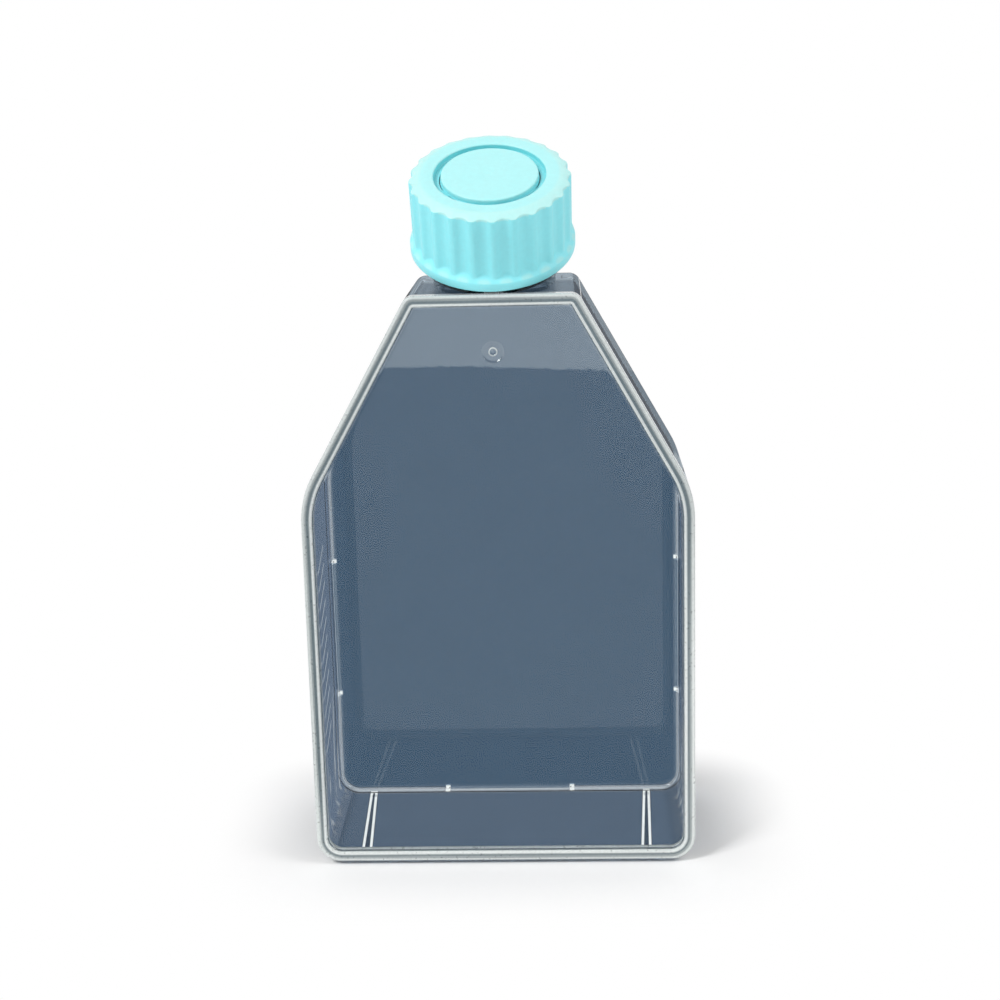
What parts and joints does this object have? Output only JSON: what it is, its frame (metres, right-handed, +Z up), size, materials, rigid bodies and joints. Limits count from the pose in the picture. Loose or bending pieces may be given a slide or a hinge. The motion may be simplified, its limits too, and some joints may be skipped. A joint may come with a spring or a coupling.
{
  "type": "cell culture flask",
  "caption": "Clear rectangular tissue culture flask with sloping shoulders, a canted neck and a finger-ribbed vented screw cap.",
  "frame": {"origin": "middle of the base, on the plane of the undersides of the two foot bars", "axes": "+Z up along the flask towards the neck, X across its width, -Y out of the face plate, +Y out of the growth wall; the neck leans towards -Y"},
  "size_m": [0.085, 0.0452, 0.1614],
  "materials": {
    "clear_polystyrene": "polished clear moulding, smoky blue-grey as it looks through two walls",
    "cyan_polyethylene": "satin moulded light cyan",
    "membrane_film": "matt white film"
  },
  "bodies": {
    "flask": {"flask_body": "clear_polystyrene", "face_plate": "clear_polystyrene"},
    "vent": {"vent_membrane": "membrane_film"},
    "cap": {"cap_shell": "cyan_polyethylene"}
  },
  "joints": [
    {"name": "cap_lift", "type": "slide", "parent": "flask", "child": "vent", "axis": [0, -0.4772, 0.8788], "range_m": [0, 0.0361]},
    {"name": "cap_turn", "type": "hinge", "parent": "vent", "child": "cap", "pos_m": [0, -0.00729, 0.14581], "axis": [0, -0.4772, 0.8788], "range_deg": [0, 2160]}
  ],
  "couplings": [
    {"joint": "cap_lift", "follows": "cap_turn", "m_per_rad": 0.00095493}
  ]
}
